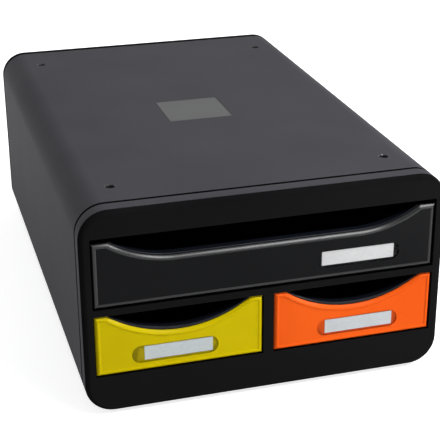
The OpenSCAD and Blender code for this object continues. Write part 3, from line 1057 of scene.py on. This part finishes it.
world = bpy.data.worlds.new("soft_studio")
world.use_nodes = True
bpy.context.scene.world = world
nodes = world.node_tree.nodes
links = world.node_tree.links
sky = nodes["Background"]
sky.inputs["Color"].default_value = (1, 1, 1, 1)
level = nodes.new("ShaderNodeMapRange")
level.inputs["To Min"].default_value = ROOM_LIGHT
level.inputs["To Max"].default_value = ROOM_SEEN
links.new(seen_directly(nodes, links), level.inputs["Value"])
links.new(level.outputs["Result"], sky.inputs["Strength"])
print("room light:", ROOM_LIGHT, "seen as:", ROOM_SEEN)

# %% [markdown]
# ## Light
# Lamps and the camera are placed in the same way: a place, and what they look at. Turning them by angles
# would do, but a place to look at is easier to read and to change. There are two kinds of lamp: a flat
# panel, and a spot that hangs over the floor.


# %% Placing and aiming
def placed(name, data, place):
    """Puts a lamp or a camera into the scene."""
    thing = bpy.data.objects.new(name, data)
    thing.location = place
    bpy.context.scene.collection.objects.link(thing)
    return thing


def looking_at(thing, aim):
    """Turns a lamp or a camera so that it looks at a place."""
    thing.rotation_mode = "QUATERNION"
    thing.rotation_quaternion = (Vector(aim) - thing.location).to_track_quat("-Z", "Y")
    return thing


def panel(name, place, size, watts, aim):
    """A flat lamp of a width and a height, in metres, that looks at its aim."""
    light = bpy.data.lights.new(name, "AREA")
    light.shape = "RECTANGLE"
    light.size, light.size_y = size
    light.energy = watts
    looking_at(placed(name, light, place), aim)


def bounce(name, floor_spot, height, cone_degrees, watts):
    """A spot that lights the floor straight below it."""
    light = bpy.data.lights.new(name, "SPOT")
    light.spot_size = math.radians(cone_degrees)
    light.spot_blend = 1.0
    light.energy = watts
    placed(name, light, (*floor_spot, height))


# %% [markdown]
# A dark box needs large, soft lights for its flats and small, strong ones for the bright lines on its
# edges. One large lamp couldn't do both. The two strongest panels are small and stand high, in front and
# at the right. Weaker, wider ones hang overhead and stand in front, at the left and behind, and a low
# panel grades the long left side. Two spots light the floor beside the box, one at the left and one in
# front at the right, and the pale floor throws their light back softly.

# %% Lamps
BOX_MIDDLE = (0, 0, 0.07)
LEFT_SIDE = (-0.13, 0.19, 0.07)
SPOT_HEIGHT = 1.4
panel("overhead_panel", (0.3, 0.3, 1.5), (1.2, 0.9), 1.5, BOX_MIDDLE)
panel("front_key", (0.45, -0.72, 1.15), (0.5, 0.3), 9, BOX_MIDDLE)
panel("right_key", (0.95, -0.5, 0.75), (0.25, 0.25), 8, BOX_MIDDLE)
panel("front_panel", (0.9, -1.4, 0.4), (0.8, 0.6), 3, BOX_MIDDLE)
panel("left_panel", (-1.3, 0.8, 0.6), (0.8, 0.5), 0.8, BOX_MIDDLE)
panel("low_panel", (-0.7, 0.55, 0.22), (0.4, 0.25), 1.0, LEFT_SIDE)
panel("rear_panel", (0.5, 1.7, 0.6), (0.8, 0.5), 2, BOX_MIDDLE)
bounce("left_bounce", (-0.6, 0.4), SPOT_HEIGHT, 40, 100)
bounce("right_bounce", (0.42, -0.48), SPOT_HEIGHT, 25, 110)
print("lamps:", len(bpy.data.lights))

# %% [markdown]
# ## Camera
# The view was solved from the photograph's outline: a long lens, high and to the left of the fronts. It
# could be set by eye, but a few degrees show at once on so many straight edges. The picture's centre
# isn't the lens's centre, so the lens is shifted a little.

# %% Camera
CAMERA_PLACE = (-0.2368, -0.8993, 0.4528)
CAMERA_AIM = (0.0218, -0.0345, 0.0625)
CAMERA_ROLL = math.radians(-0.096)
PHOTO_SIDE = 440
FOCAL_PIXELS = 1234.5
CENTRE_X_PIXEL = 233.0
CENTRE_Y_PIXEL = 219.4
SENSOR = 36.0

lens = bpy.data.cameras.new("camera")
lens.sensor_width = SENSOR
lens.lens = FOCAL_PIXELS / PHOTO_SIDE * SENSOR
lens.shift_x = (PHOTO_SIDE / 2 - CENTRE_X_PIXEL) / PHOTO_SIDE
lens.shift_y = (CENTRE_Y_PIXEL - PHOTO_SIDE / 2) / PHOTO_SIDE
camera = looking_at(placed("camera", lens, CAMERA_PLACE), CAMERA_AIM)
roll = Matrix.Rotation(CAMERA_ROLL, 3, "Z").to_quaternion()
camera.rotation_quaternion = camera.rotation_quaternion @ roll
bpy.context.scene.camera = camera
bpy.context.scene.view_settings.view_transform = "Standard"
print("lens in mm:", round(lens.lens, 1))
